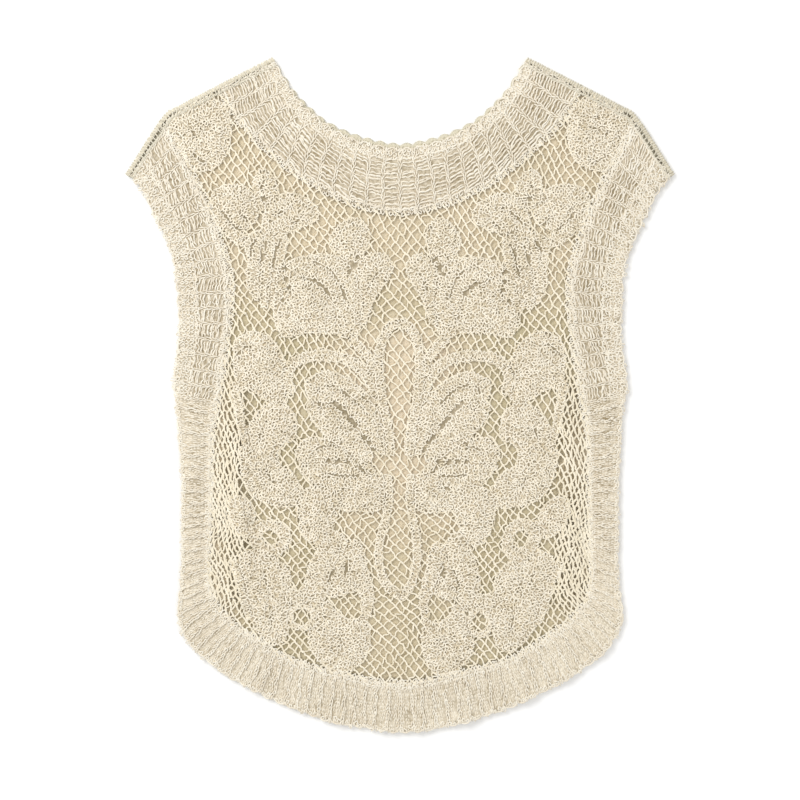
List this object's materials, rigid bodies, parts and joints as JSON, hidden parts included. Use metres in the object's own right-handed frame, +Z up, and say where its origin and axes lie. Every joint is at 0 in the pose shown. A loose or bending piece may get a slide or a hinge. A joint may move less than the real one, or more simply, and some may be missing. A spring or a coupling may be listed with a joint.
{
  "type": "crochet top",
  "caption": "Sleeveless cream crochet-lace top laid flat, with a round neck, wide ribbed neck, armhole and hem bands, and a curved hem.",
  "frame": {"origin": "middle of the flat garment's outline, on the surface that it lies on", "axes": "+X to the viewer's right as the front is seen from above, +Y towards the shoulders, +Z up, away from the surface"},
  "size_m": [0.4834, 0.5944, 0.0083],
  "materials": {
    "lace_yarn": "matt cream cotton yarn, crocheted",
    "rib_yarn": "matt cream cotton yarn, ribbed",
    "back_knit": "matt beige cotton, plain knit",
    "back_rib": "matt cream cotton yarn, ribbed"
  },
  "bodies": {
    "root": {"front_lace_panel": "lace_yarn", "front_border": "rib_yarn", "front_neck_band": "rib_yarn", "back_panel": "back_knit", "back_border": "back_rib", "back_neck_band": "back_rib"}
  },
  "joints": []
}
